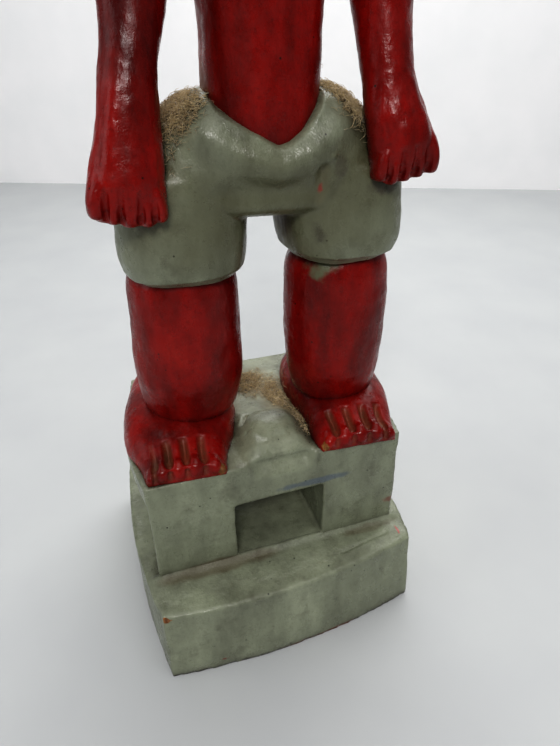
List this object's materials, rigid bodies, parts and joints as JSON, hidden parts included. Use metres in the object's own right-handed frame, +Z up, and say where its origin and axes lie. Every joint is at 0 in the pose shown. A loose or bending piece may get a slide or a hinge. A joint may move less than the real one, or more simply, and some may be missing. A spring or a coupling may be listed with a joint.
{
  "type": "carved wooden figure",
  "caption": "Carved and painted wooden figure in short trousers, standing with its arms at its sides on a stepped pedestal with a cut-through window.",
  "frame": {"origin": "middle of the plinth's underside, where the figure stands", "axes": "+Z up through the head, the figure faces -Y, +X towards its own left hand"},
  "size_m": [0.1097, 0.1126, 0.338],
  "materials": {
    "red_enamel": "glossy brick-red enamel brushed on carved wood, worn and dusty in the creases",
    "green_enamel": "satin grey-green enamel brushed on carved wood, grimy, with small chips and scuffs",
    "black_enamel": "satin black-brown enamel on carved wood",
    "eye_enamel": "off-white enamel with dark pupils",
    "dust_lint": "matted beige dust fibres settled on the ledges"
  },
  "bodies": {
    "root": {"plinth": "green_enamel", "pedestal": "green_enamel", "right_foot": "red_enamel", "left_foot": "red_enamel", "right_leg": "red_enamel", "left_leg": "red_enamel", "right_trouser_leg": "green_enamel", "left_trouser_leg": "green_enamel", "seat": "green_enamel", "torso": "red_enamel", "chest": "red_enamel", "right_arm": "red_enamel", "left_arm": "red_enamel", "right_hand": "red_enamel", "left_hand": "red_enamel", "neck": "red_enamel", "head": "red_enamel", "hair": "black_enamel", "right_ear": "red_enamel", "left_ear": "red_enamel"}
  },
  "joints": []
}
